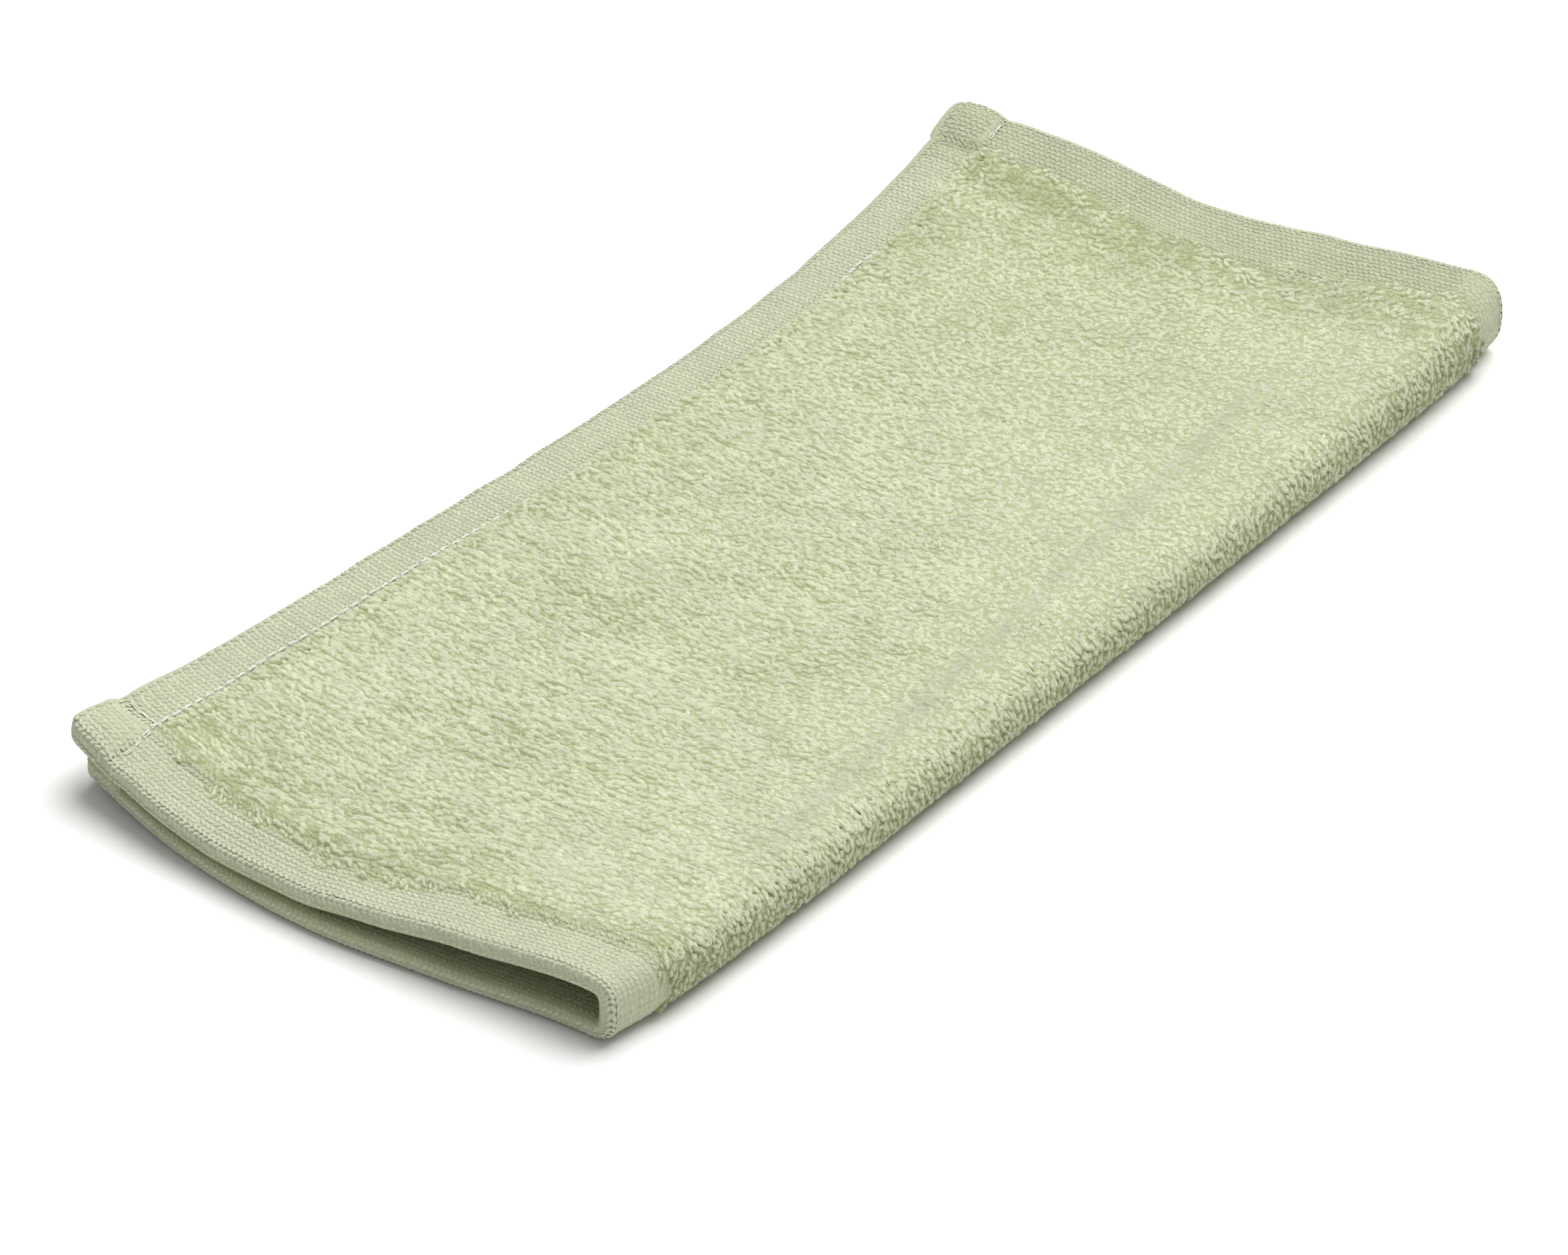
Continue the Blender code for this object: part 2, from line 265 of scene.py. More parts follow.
# One grid of the whole cloth. Face = middle + normal * half thickness, outer ground =
# face less the loops' or stitches' height, inner = middle - normal * half thickness
def clothGrid(fieldStep):
    hemWidth = cloth["sideHem"] + cloth["hemBlend"] / 2
    columns = girthColumns(hemSteps(cloth["sideHem"], 1.0),
                           int((cloth["layerGirth"] - hemWidth) / fieldStep), 22)
    nearRows = np.array(hemSteps(cloth["endHem"], 1.0))
    far = cloth["length"] - nearRows[::-1]
    field = np.linspace(nearRows[-1], far[0], int((far[0] - nearRows[-1]) / fieldStep) + 1)[1:-1]
    rows = np.concatenate([nearRows, field, far])
    middle, normal, full, rounding, side, end = layCloth(columns, rows / cloth["length"])
    side, end = np.broadcast_arrays(side, end)
    hem = np.maximum(side, end)
    drop = cloth["pileDrop"] * (1.0 - hem) + cloth["knitDrop"] * hem
    half = normal * (rounding * full / 2)[..., None]
    outer = middle + half - normal * (drop * rounding)[..., None]
    outer[..., 2] = np.maximum(outer[..., 2], 0.0)
    inner, face = middle - half, middle + half
    for layer in (middle, outer, inner, face):
        layer[..., :2] -= centre
    girth = columns[:, 3]
    alongS, alongT = np.gradient(outer, girth, axis=1), np.gradient(outer, rows, axis=0)
    up = unit(np.cross(alongS, alongT))
    return {"s": girth, "t": rows, "outer": outer, "inner": inner, "middle": middle, "face": face,
            "normal": normal, "up": up, "full": full, "side": side, "end": end,
            "alongS": unit(alongS), "alongT": unit(alongT)}


# Bilinear reading of one of the grid's layers at (girth s, length t)
def readGrid(grid, name, s, t):
    gs, gt, v = grid["s"], grid["t"], grid[name]
    i = np.clip(np.searchsorted(gs, s) - 1, 0, len(gs) - 2)
    j = np.clip(np.searchsorted(gt, t) - 1, 0, len(gt) - 2)
    a = np.clip((s - gs[i]) / (gs[i + 1] - gs[i]), 0, 1)
    b = np.clip((t - gt[j]) / (gt[j + 1] - gt[j]), 0, 1)
    if v.ndim == 3:
        a, b = a[..., None], b[..., None]
    return ((1 - a) * (1 - b) * v[j, i] + a * (1 - b) * v[j, i + 1]
            + (1 - a) * b * v[j + 1, i] + a * b * v[j + 1, i + 1])


# Across and up of each corner of a yarn's section, in half widths and heights, and
# across and up of the direction that it faces
loopSection = ((0.32, 0.9, 0.4, 0.9), (-0.32, 0.9, -0.4, 0.9),
               (-0.97, -0.6, -1, -0.1), (0.97, -0.6, 1, -0.1))
stitchSection = ((0, 1, 0, 1), (-1, -0.09, -1, -0.09), (1, -0.09, 1, -0.09))
roundSection = ((1, 0, 1, 0), (0, 1, 0, 1), (-1, 0, -1, 0), (0, -1, 0, -1))


# Mesh from points in mm and one array of faces for each number of corners
def makePiece(name, points, faceSets, material, attributes=None, uv=None, normals=None):
    mesh = bpy.data.meshes.new(name)
    points = np.asarray(points, np.float32).reshape(-1, 3) * mm
    counts = np.concatenate([np.full(len(f), f.shape[1]) for f in faceSets])
    corners = np.concatenate([f.reshape(-1) for f in faceSets])
    mesh.vertices.add(len(points))
    mesh.vertices.foreach_set("co", points.reshape(-1))
    mesh.loops.add(len(corners))
    mesh.loops.foreach_set("vertex_index", corners.astype(np.int32))
    mesh.polygons.add(len(counts))
    starts = np.concatenate([[0], np.cumsum(counts)[:-1]])
    mesh.polygons.foreach_set("loop_start", starts.astype(np.int32))
    mesh.polygons.foreach_set("use_smooth", np.ones(len(counts), bool))
    mesh.update(calc_edges=True)
    for key, values in (attributes or {}).items():
        layer = mesh.attributes.new(key, "FLOAT", "POINT")
        layer.data.foreach_set("value", np.asarray(values, np.float32).reshape(-1))
    if uv is not None:
        layer = mesh.uv_layers.new(name="clothMap")
        layer.data.foreach_set("uv", np.asarray(uv, np.float32)[corners].reshape(-1))
    mesh.validate()
    if normals is not None:
        mesh.normals_split_custom_set_from_vertices(np.asarray(normals, float).reshape(-1, 3))
    mesh.materials.append(material)
    piece = bpy.data.objects.new(name, mesh)
    bpy.context.scene.collection.objects.link(piece)
    triangles = int((counts - 2).sum())
    print(f"towel: {name}, {triangles} triangles")
    return piece


# Closed yarn: across * wide * x + other * high * y of its section, carried along
# each path (yarn, point, xyz), whose first and last points are poles
def closedYarn(paths, across, wide, high, section):
    count, points = paths.shape[:2]
    along = unit(np.gradient(paths, axis=1))[:, 1:-1]
    across = np.broadcast_to(across[:, None, :], along.shape)
    across = unit(across - along * np.sum(along * across, -1, keepdims=True))
    other = np.cross(along, across)
    x, y, faceX, faceY = np.array(section, float).T
    sides = len(section)
    ring = (across[:, :, None] * (wide[:, :, None] * x)[..., None]
            + other[:, :, None] * (high[:, :, None] * y)[..., None])
    rings = (paths[:, 1:-1, None] + ring).reshape(count, -1, 3)
    vertices = np.concatenate([paths[:, :1], rings, paths[:, -1:]], 1)
    facing = unit(across[:, :, None] * (faceX / wide[:, :, None])[..., None]
                  + other[:, :, None] * (faceY / high[:, :, None])[..., None])
    facing = np.concatenate([-along[:, :1], facing.reshape(count, -1, 3), along[:, -1:]], 1)
    size = vertices.shape[1]
    base = np.arange(count)[:, None, None] * size
    index = 1 + np.arange(size - 2).reshape(points - 2, sides)
    following = np.roll(index, -1, axis=1)
    quads = np.stack([index[:-1], following[:-1], following[1:], index[1:]], -1).reshape(-1, 4)
    first = np.stack([np.zeros(sides, int), following[0], index[0]], -1)
    last = np.stack([np.full(sides, size - 1), index[-1], following[-1]], -1)
    fans = np.concatenate([first, last])
    faces = [(base + fans).reshape(-1, 3)] + [(base + quads).reshape(-1, 4)] * (points > 3)
    return vertices, faces, facing


# Cotton scatters light between its yarns: each yarn is shaded with a mix of its own
# facing direction and the cloth's
def softFacing(facing, up, share):
    return unit(facing * (1.0 - share) + up[:, None] * share)


# What every cotton has in common
cotton = {
    "shader": {"Roughness": 0.92, "Sheen Roughness": 0.45, "Sheen Tint": (0.97, 1.0, 0.86, 1.0),
               "Specular IOR Level": 0.18},
    "loopShare": 0.5,                           # a loop's own tone beside the patches' tone
    "pressedTint": (0.92, 0.91, 0.95, 1.0),     # greyer where the pile is pressed
    "bumpDeep": 0.0003,                         # of the fibres, in metres
}
mixShare, mixFirst, mixSecond, mixColour = 0, 6, 7, 2      # sockets of a colour mix


def setSockets(node, values):
    for socket, value in values.items():
        node.inputs[socket].default_value = value


def addNode(nodes, kind, values):
    node = nodes.new("ShaderNode" + kind)
    setSockets(node, values)
    return node


def addMix(nodes, values, blend="MIX"):
    mix = nodes.new("ShaderNodeMix")
    mix.data_type, mix.blend_type = "RGBA", blend
    setSockets(mix, values)
    return mix


def readAttribute(nodes, name):
    reader = nodes.new("ShaderNodeAttribute")
    reader.attribute_name = name
    return reader.outputs["Fac"]


# Cotton: paler at the loop tips, darker and greener at their roots, which is painted shade
# between the loops, uneven from loop to loop and over the cloth, with a fine fibre bump
def cottonMaterial(name, look):
    material = bpy.data.materials.new(name)
    material.use_nodes = True
    nodes, link = material.node_tree.nodes, material.node_tree.links.new
    shader = nodes["Principled BSDF"]
    setSockets(shader, cotton["shader"])
    setSockets(shader, {"Sheen Weight": look["sheen"]})
    place = nodes.new("ShaderNodeTexCoord").outputs["Object"]

    # from root to tip, the darker root colour being painted shade, and greyer where it is pressed
    near = addNode(nodes, "MapRange", {"From Min": look["depths"][0],
                                       "From Max": look["depths"][1]})
    near.interpolation_type = "SMOOTHSTEP"
    depth = addMix(nodes, {mixFirst: look["root"], mixSecond: look["tip"]})
    greyer = addMix(nodes, {mixSecond: cotton["pressedTint"]}, "MULTIPLY")
    link(readAttribute(nodes, "reach"), near.inputs["Value"])
    link(near.outputs["Result"], depth.inputs[mixShare])
    link(readAttribute(nodes, "pressed"), greyer.inputs[mixShare])
    link(depth.outputs[mixColour], greyer.inputs[mixFirst])

    # lighter and darker loops and patches
    patches = addNode(nodes, "TexNoise", {"Scale": look["patchScale"], "Detail": 3.0})
    mixed = nodes.new("ShaderNodeMath")
    mixed.operation = "MULTIPLY_ADD"
    mixed.inputs[1].default_value = cotton["loopShare"]
    bright = addNode(nodes, "MapRange", {"From Min": 0.3, "From Max": 1.15,
                                         "To Min": 1.0 - look["variety"],
                                         "To Max": 1.0 + look["variety"]})
    link(place, patches.inputs["Vector"])
    link(readAttribute(nodes, "tone"), mixed.inputs[0])
    link(patches.outputs["Fac"], mixed.inputs[2])
    link(mixed.outputs["Value"], bright.inputs["Value"])

    # fibres along and across the yarns, for the grain and the bump
    across = look["fibreAcross"]
    stretch = addNode(nodes, "Mapping", {"Scale": (look["fibreAlong"], across, across)})
    fibres = addNode(nodes, "TexNoise", {"Scale": 1.0, "Detail": 2.0, "Distortion": look["curl"]})
    grain = addNode(nodes, "MapRange", {"From Min": 0.3, "From Max": 0.7,
                                        "To Min": -look["grain"], "To Max": look["grain"]})
    whole = nodes.new("ShaderNodeMath")
    bump = addNode(nodes, "Bump", {"Strength": look["bump"], "Distance": cotton["bumpDeep"]})
    link(place, stretch.inputs["Vector"])
    link(stretch.outputs["Vector"], fibres.inputs["Vector"])
    link(fibres.outputs["Fac"], grain.inputs["Value"])
    link(fibres.outputs["Fac"], bump.inputs["Height"])
    link(bright.outputs["Result"], whole.inputs[0])
    link(grain.outputs["Result"], whole.inputs[1])

    tint = nodes.new("ShaderNodeVectorMath")
    tint.operation = "SCALE"
    link(greyer.outputs[mixColour], tint.inputs[0])
    link(whole.outputs["Value"], tint.inputs["Scale"])
    link(tint.outputs["Vector"], shader.inputs["Base Color"])
    link(bump.outputs["Normal"], shader.inputs["Normal"])
    return material


# Colours at tip and root, the root's darker colour being painted shade, the depths between
# which they change, size of patches and fibres, and how strong each is
looks = {
    "pile": {"tip": (0.582, 0.607, 0.442, 1), "root": (0.325, 0.36, 0.175, 1), "sheen": 0.15,
             "depths": (-0.5, 0.95),
             "variety": 0.10, "patchScale": 60.0, "fibreAlong": 600.0, "fibreAcross": 1500.0,
             "curl": 1.2, "grain": 0.18, "bump": 0.6},
    "ground": {"tip": (0.50, 0.52, 0.36, 1), "root": (0.45, 0.48, 0.29, 1), "sheen": 0.2,
               "depths": (0.0, 1.0),
               "variety": 0.08, "patchScale": 90.0, "fibreAlong": 900.0, "fibreAcross": 1600.0,
               "curl": 1.0, "grain": 0.12, "bump": 0.8},
    "knit": {"tip": (0.565, 0.585, 0.43, 1), "root": (0.42, 0.445, 0.29, 1), "sheen": 0.25,
             "depths": (0.0, 1.0),
             "variety": 0.09, "patchScale": 70.0, "fibreAlong": 1500.0, "fibreAcross": 2400.0,
             "curl": 0.8, "grain": 0.10, "bump": 0.6},
    "thread": {"tip": (0.80, 0.80, 0.74, 1), "root": (0.72, 0.72, 0.66, 1), "sheen": 0.1,
               "depths": (0.0, 1.0),
               "variety": 0.04, "patchScale": 200.0, "fibreAlong": 3000.0, "fibreAcross": 3000.0,
               "curl": 0.5, "grain": 0.05, "bump": 0.4},
}
pileCotton = cottonMaterial("pale green pile", looks["pile"])
groundCotton = cottonMaterial("pale green ground", looks["ground"])
knitCotton = cottonMaterial("pale green knit", looks["knit"])
whiteThread = cottonMaterial("white sewing thread", looks["thread"])

# The middle of the footprint in the tables' own x and y
centre = np.zeros(2)
probe = clothGrid(4.0)
both = np.concatenate([probe["face"].reshape(-1, 3), probe["inner"].reshape(-1, 3)])
centre = (both.min(axis=0) + both.max(axis=0))[:2] / 2
grid = clothGrid(2.6)
print("towel: folds worked out, middle at", np.round(centre, 2))


# The outer and the inner face as grids of quads, closed by a rim of quads all round
def clothPiece():
    rows, columns = grid["outer"].shape[:2]
    count = rows * columns
    index = np.arange(count).reshape(rows, columns)
    quads = np.stack([index[:-1, :-1], index[:-1, 1:], index[1:, 1:], index[1:, :-1]], -1)
    quads = quads.reshape(-1, 4)
    edge = np.concatenate([index[0, :-1], index[:-1, -1], index[-1, :0:-1], index[:0:-1, 0]])
    following = np.roll(edge, -1)
    rim = np.stack([edge, edge + count, following + count, following], -1)
    points = np.concatenate([grid["outer"].reshape(-1, 3), grid["inner"].reshape(-1, 3)])
    s, t = np.meshgrid(grid["s"], grid["t"])
    uv = np.stack([s, t], -1).reshape(-1, 2) / cloth["mapSize"]
    # painted shade: the ground under the pile takes the darker root colour, the inner face darker
    # still
    hem = np.maximum(grid["side"], grid["end"]).reshape(-1)
    reach = np.concatenate([hem, np.full(count, 0.1)])
    tone = np.full(2 * count, 0.5)
    return makePiece("towelCloth", points, [quads, quads[:, ::-1] + count, rim], groundCotton,
                     {"reach": reach, "tone": tone}, np.concatenate([uv, uv]))


towelCloth = clothPiece()

# Pile: puffy yarn loops in rows along the wales. Near the free corner they lie over
# in line and are long, and elsewhere they are shorter and turned more ways
pile = {
    "alongRow": 1.38, "betweenRows": 1.12, "jitter": 0.2,
    "reachLying": 2.55, "reachStanding": 2.05,  # how far a loop reaches over
    "riseLying": 0.06, "riseStanding": 0.08,    # height of its bend over the ground
    "wideLying": 0.86, "wideStanding": 0.80,    # half its width
    "turnLying": 0.25, "turnStanding": 0.75,    # how unevenly they are turned, radians
    "flat": 0.52,                               # its height over half its width
    "curl": 0.22,                               # how far it bends aside
    "parting": 0.22,                            # how much the partings turn them
    "partingWaves": (9.0, 21.0),
    "furrow": 0.20, "furrowWave": 2.4,          # furrows between lying rows
    "clump": 0.08, "endClump": 0.36,            # height of clumps, and near the end hems
    "clumpWave": 6.0,
    "endReach": 8.0,                            # how far from an end hem those fade out
    "lowShade": 0.85, "sink": 0.04,                # painted shade: darker, greener low places; and how low
    "hang": 0.7, "hangWave": 1.25,              # how far loops hang over an end hem
    "overHem": 0.7, "overHemReach": 1.6,        # how much those lean over it
    "hemFiner": 0.28, "hemFinerReach": 2.0,     # smaller loops beside a hem
    "calmFrom": 60.0, "calmOver": 45.0,         # beside the fold: band of calmer pile,
    "calmFiner": 0.14, "calmPaler": 0.22, "calmSofter": 0.06,       # and what it changes
    "lineIn": 11.0, "lineSlant": 0.085,         # the pressed line: its place by the fold,
    "lineWide": 3.2, "lineHalf": 115.0, "lineFade": 30.0, "lineFlat": 0.6,      # its size
    "foldShade": 0.58,                           # painted shade: the fold's side is a deeper, darker green
    "soft": 0.76,                               # share of the cloth's own facing direction
    "seed": 11,
}


# How far inside the pile's own border a place is, below 0 on the end hems: the smaller
# of its distances to the near and to the far border
def insidePile(s, t):
    table = np.array(borders, float).T
    near = curveThrough(s, table[0], table[1])
    far = curveThrough(s, table[0], table[2])
    return np.minimum(t - near, cloth["length"] - far - t)


# Share of the loops that lie over in rows: a smooth step of the way from the near free
# corner (1) towards the far end and the fold (0), with slow waves
def lyingShare(s, t):
    away = 0.62 * t + 0.75 * s + 14 * unevenness(s, t, 45.0, 21)
    return smoothStep((200.0 - away) / 85.0)


# A value of the pile between its standing and its lying loops
def betweenLoops(name, lying):
    return pile[name + "Standing"] + (pile[name + "Lying"] - pile[name + "Standing"]) * lying


# Each loop's path = foot + over * reach * share + across * bend aside * share squared
# + up * (rise + bend down at that share)
def loopPaths(s, t, reach, rise, turn, aside, bend):
    foot, up = readGrid(grid, "outer", s, t), unit(readGrid(grid, "up", s, t))
    alongS, alongT = unit(readGrid(grid, "alongS", s, t)), unit(readGrid(grid, "alongT", s, t))
    over = alongS * np.cos(turn)[:, None] + alongT * np.sin(turn)[:, None]
    across = unit(np.cross(up, over))
    share = np.array([-0.2, 0.15, 0.5, 0.8, 1.12])      # from behind its foot to past its end
    paths = (foot[:, None] + up[:, None] * (rise[:, None] + np.array(bend))[..., None]
             + over[:, None] * (reach[:, None] * share)[..., None]
             + across[:, None] * (aside[:, None] * share**2)[..., None])
    return paths, across


# A loop on each foot (s, t): its path, with a closed yarn carried along it. Turn, size
# and rise = the pile's values + waves over the cloth + a seeded part of its own
def pilePiece(name, s, t, lying=None, spread=None, size=1.0, extraRise=0.0, flat=1.0,
              bend=(-0.3, -0.03, 0.03, -0.05, -0.28)):
    rng = np.random.default_rng(pile["seed"] + len(name))
    n = len(s)
    lying = lyingShare(s, t) if lying is None else np.full(n, lying)
    farHalf = t > cloth["length"] / 2
    # partings: loops turn away from the ridges of a smooth field
    step, (short, long) = 0.5, pile["partingWaves"]
    wave = [unevenness(s + ds, t + dt, short, 31) + 1.5 * unevenness(s + ds, t + dt, long, 32)
            for ds, dt in ((step, 0), (-step, 0), (0, step), (0, -step))]
    pushS, pushT = (wave[0] - wave[1]) / (2 * step), (wave[2] - wave[3]) / (2 * step)
    direction = rng.normal(0, betweenLoops("turn", lying) if spread is None else spread, n)
    overS = np.cos(direction) + pile["parting"] * pushS
    overT = np.sin(direction) + pile["parting"] * pushT
    inside = np.maximum(insidePile(s, t), 0.0)
    overT -= (pile["overHem"] * np.sign(cloth["length"] / 2 - t)
              * np.exp(-inside / pile["overHemReach"]))
    # clumps, lower and smaller at the near end, and furrows
    rough = pile["clump"] * unevenness(0.5 * s, t, pile["clumpWave"], 33)
    finer = np.where(farHalf, 1.0, 1.25)
    rough += (pile["endClump"] * (1 + 0.25 * farHalf) * np.exp(-inside / pile["endReach"])
              * unevenness(0.8 * finer * s, finer * t, pile["clumpWave"], 37))
    rows = (pile["furrow"] * (0.3 + 0.7 * lying)
            * unevenness(0.2 * s, t + 0.1 * s, pile["furrowWave"], 38, 0.5))
    place = readGrid(grid, "outer", s, t)[:, :2] + centre
    # painted shade and painted light from the patches' table, which also sinks the loops a little
    shade = sum(a * np.exp(-((place[:, 0] - cx) / rx) ** 2 - ((place[:, 1] - cy) / ry) ** 2)
                for cx, cy, rx, ry, a in paintedShades) * (s < girthTop + 8)
    rough -= pile["sink"] * np.clip(shade, 0.0, 1.0)
    onHem = readGrid(grid, "end", s, t)
    uneven = 0.05 * rng.normal(size=n) + rough + rows + 0.5 * cloth["hemStep"] * onHem
    small = 1.0 - pile["hemFiner"] * np.exp(-inside / pile["hemFinerReach"])
    small += 0.3 * np.clip(shade, 0, 1) * (t > 250)      # coarser where the far end lies open
    # beside the fold the loops are finer, paler and less furrowed
    calm = smoothStep((s - girthTop + pile["calmFrom"]) / pile["calmOver"])
    calm = calm * (1 - smoothStep((s - girthTop - 2) / 10))
    small -= pile["calmFiner"] * calm
    reach = size * small * betweenLoops("reach", lying) * (1 + 0.14 * rng.normal(size=n))
    rise = size * np.maximum(betweenLoops("rise", lying) + uneven, -0.02) + extraRise
    aside = pile["curl"] * reach * rng.normal(size=n)
    paths, across = loopPaths(s, t, reach, rise, np.arctan2(overT, overS), aside, bend)
    wide = size * small * betweenLoops("wide", lying) * (1 + 0.10 * rng.normal(size=n))
    wide = wide[:, None] * np.array([0.85, 1.0, 0.72])      # foot, middle and far end
    flat = flat * pile["flat"] * (0.8 + 0.2 * lying)
    vertices, faces, facing = closedYarn(paths, across, wide, flat[:, None] * wide, loopSection)
    # a raised loop keeps its sides and ends down in the cloth
    up = unit(readGrid(grid, "up", s, t))
    below = np.tile(np.array(loopSection)[:, 1] < 0, paths.shape[1] - 2)
    rooted = np.concatenate([[True], below, [True]])
    sunk = np.maximum(rise - 0.05, 0.0)[:, None] * rooted
    vertices = vertices - up[:, None] * sunk[..., None]
    vertices[..., 2] = np.maximum(vertices[..., 2], 0.02)
    # depth in the pile: 0 at the ground, 1 at the top of the loop's bend; low parts take
    # the darker root colour, painted shade between the loops
    ground = readGrid(grid, "outer", s, t)
    height = np.sum((vertices - ground[:, None]) * up[:, None], -1)
    height = height - 0.7 * np.maximum(rise, 0.0)[:, None]
    depth = np.clip(height / (0.12 + 0.9 * flat * wide[:, 1])[:, None], -1.0, 1.2)
    # painted shade: low clumps, furrows, the patches and the fold's side are drawn darker and
    # greener
    paintedShadeAmount = pile["lowShade"] * smoothStep(-rough / 0.3) + 0.6 * smoothStep(-rows / 0.25)
    paintedShadeAmount = np.clip(paintedShadeAmount + 0.7 * shade, -0.3, 0.95)
    # painted shade on the fold's side, which faces away from the light
    paintedShadeAmount += pile["foldShade"] * smoothStep((s - girthTop - 3) / 9)
    depth = depth - (0.7 * paintedShadeAmount - pile["calmPaler"] * calm)[:, None]
    tone = np.broadcast_to(rng.uniform(size=n)[:, None], vertices.shape[:2])
    # a greyer line, pressed into the pile beside the fold
    line = girthTop - pile["lineIn"] - pile["lineSlant"] * place[:, 1]
    pressed = np.exp(-(((s - line) / pile["lineWide"]) ** 2))
    pressed *= smoothStep((pile["lineHalf"] - np.abs(place[:, 1])) / pile["lineFade"])
    pressed = np.broadcast_to(pressed[:, None], vertices.shape[:2])
    depth = depth + pile["lineFlat"] * pressed * (0.5 - depth)
    soft = pile["soft"] + 0.1 * (1 - lying) + pile["calmSofter"] * calm
    return makePiece(name, vertices, faces, pileCotton,
                     {"reach": depth, "tone": tone, "pressed": pressed},
                     normals=softFacing(facing, up, soft[:, None, None]))


# Jittered rows of feet between girth s0 and s1 and length t0 and t1, every other row
# half a step on
def rowsOfFeet(s0, s1, t0, t1, along, between, seed):
    rng, jitter = np.random.default_rng(seed), pile["jitter"]
    s = np.linspace(s0, s1, int((s1 - s0) / along) + 1)
    t = np.linspace(t0, t1, int((t1 - t0) / between) + 1)
    s, t = np.meshgrid(s, t)
    s = s + along * (0.5 * (np.arange(len(s)) % 2)[:, None] + rng.normal(0, jitter, s.shape))
    t = t + between * rng.normal(0, jitter * 0.6, t.shape)
    return np.clip(s, s0, s1).reshape(-1), np.clip(t, t0, t1).reshape(-1)


girthTop, girthFold = cloth["layerGirth"], cloth["layerGirth"] + cloth["foldGirth"]
girthAll = girthTop + girthFold
pileSide = cloth["sideHem"] + 0.4


# The feet inside the pile's borders, which wander; the side hem is wider at the near
# end and narrower at the far one, by 1.5 and 3 mm that die out with the girth
def coveredFeet(s0, s1, along, between, seed):
    s, t = rowsOfFeet(s0, s1, 7.0, cloth["length"] - 7.0, along, between, seed)
    rng = np.random.default_rng(seed + 7)
    hang = pile["hang"] + pile["hangWave"] * (unevenness(s, 0.3 * t, 8.0, 48)
                                              + 0.3 * rng.normal(size=len(s)))
    covered = insidePile(s, t) > -hang
    s, t = s[covered], t[covered]
    wide = 1.5 * (1 - smoothStep(t / 18)) - 3.0 * smoothStep((t - 250) / 35)
    return s + wide * np.exp(-(s - s0) / 15) * (s0 < 20), t


shoulder = girthTop + 5
s, t = coveredFeet(pileSide, shoulder, pile["alongRow"], pile["betweenRows"], 41)
quarter = 2 * (t > np.median(t)) + (s > np.median(s))
topNames = ("pileNearFree", "pileNearFold", "pileFarFree", "pileFarFold")
pileTops = [pilePiece(name, s[quarter == k], t[quarter == k]) for k, name in enumerate(topNames)]
# round the fold the rows show one below the other, each over the next
s, t = coveredFeet(shoulder + 0.8, girthFold - 1, 1.6, 1.15, 42)
pileFold = pilePiece("pileFold", s, t, lying=0.1, spread=0.5, extraRise=0.04, flat=1.15,
                     bend=(-0.3, -0.05, 0.05, 0.03, -0.18))
s, t = coveredFeet(girthFold, girthAll - pileSide, 3.2, 2.6, 43)
pileUnder = pilePiece("pileUnder", s, t, lying=1.0, size=1.5)
print("towel: pile laid")

# Knit: wales of V stitches that run along X, two legs to a stitch
knit = {
    "course": 1.33,         # length of a stitch along its wale
    "wale": 2.4,            # width of a wale
    "legWide": 0.44,        # half width of a leg
    "legHigh": 0.17, "lipHigh": 0.20,
    "overlap": 1.2,         # how many courses a leg is long
    "footWide": 0.46,       # where a leg starts and ends, from its wale's middle and
    "footClose": 0.06,      # in wales
    "jitter": 0.10,
    "lipArc": 6.8,          # length of the way round a turned edge
    "lipRise": 0.05,
    "besideShade": 0.6,      # painted shade: how much darker the stitches beside the pile are,
    "shadeReach": 2.2,      # and how far from it they do
    "farFrom": 280.0, "farShade": 0.55,      # painted shade: the far end hem is darker and greener
    "seed": 51,
}


# Round a turned edge, from the outer face (arc 0) to the inner one (arc lipArc):
# middle + out * cos(angle) + normal * (0.7 sin(angle) + a flat rim), angle from 90
# to -90 degrees in step with the arc
def lipAt(edge, along, arc):
    inset = cloth["edgeRound"]
    along = np.asarray(along, float)
    if edge in ("near", "far"):
        t = np.full(along.shape, inset if edge == "near" else cloth["length"] - inset)
        s, out = along, readGrid(grid, "alongT", along, t) * (-1 if edge == "near" else 1)
    else:
        s = np.full(along.shape, inset if edge == "top" else girthAll - inset)
        t, out = along, readGrid(grid, "alongS", s, along) * (-1 if edge == "top" else 1)
    middle, normal = readGrid(grid, "middle", s, t), unit(readGrid(grid, "normal", s, t))
    out = unit(out - normal * np.sum(out * normal, -1, keepdims=True))
    half = readGrid(grid, "full", s, t) / 2 - cloth["knitDrop"]
    angle = np.pi / 2 - np.pi * arc / knit["lipArc"]
    tall = 0.7 * np.sin(angle) + 0.3 * np.clip(angle / 0.35, -1, 1)
    level = out * np.cos(angle)[:, None] * inset + normal * (half * tall)[:, None]
    facing = unit(out * np.cos(angle)[:, None] / inset + normal * (np.sin(angle) / half)[:, None])
    return middle + level + knit["lipRise"] * facing, facing


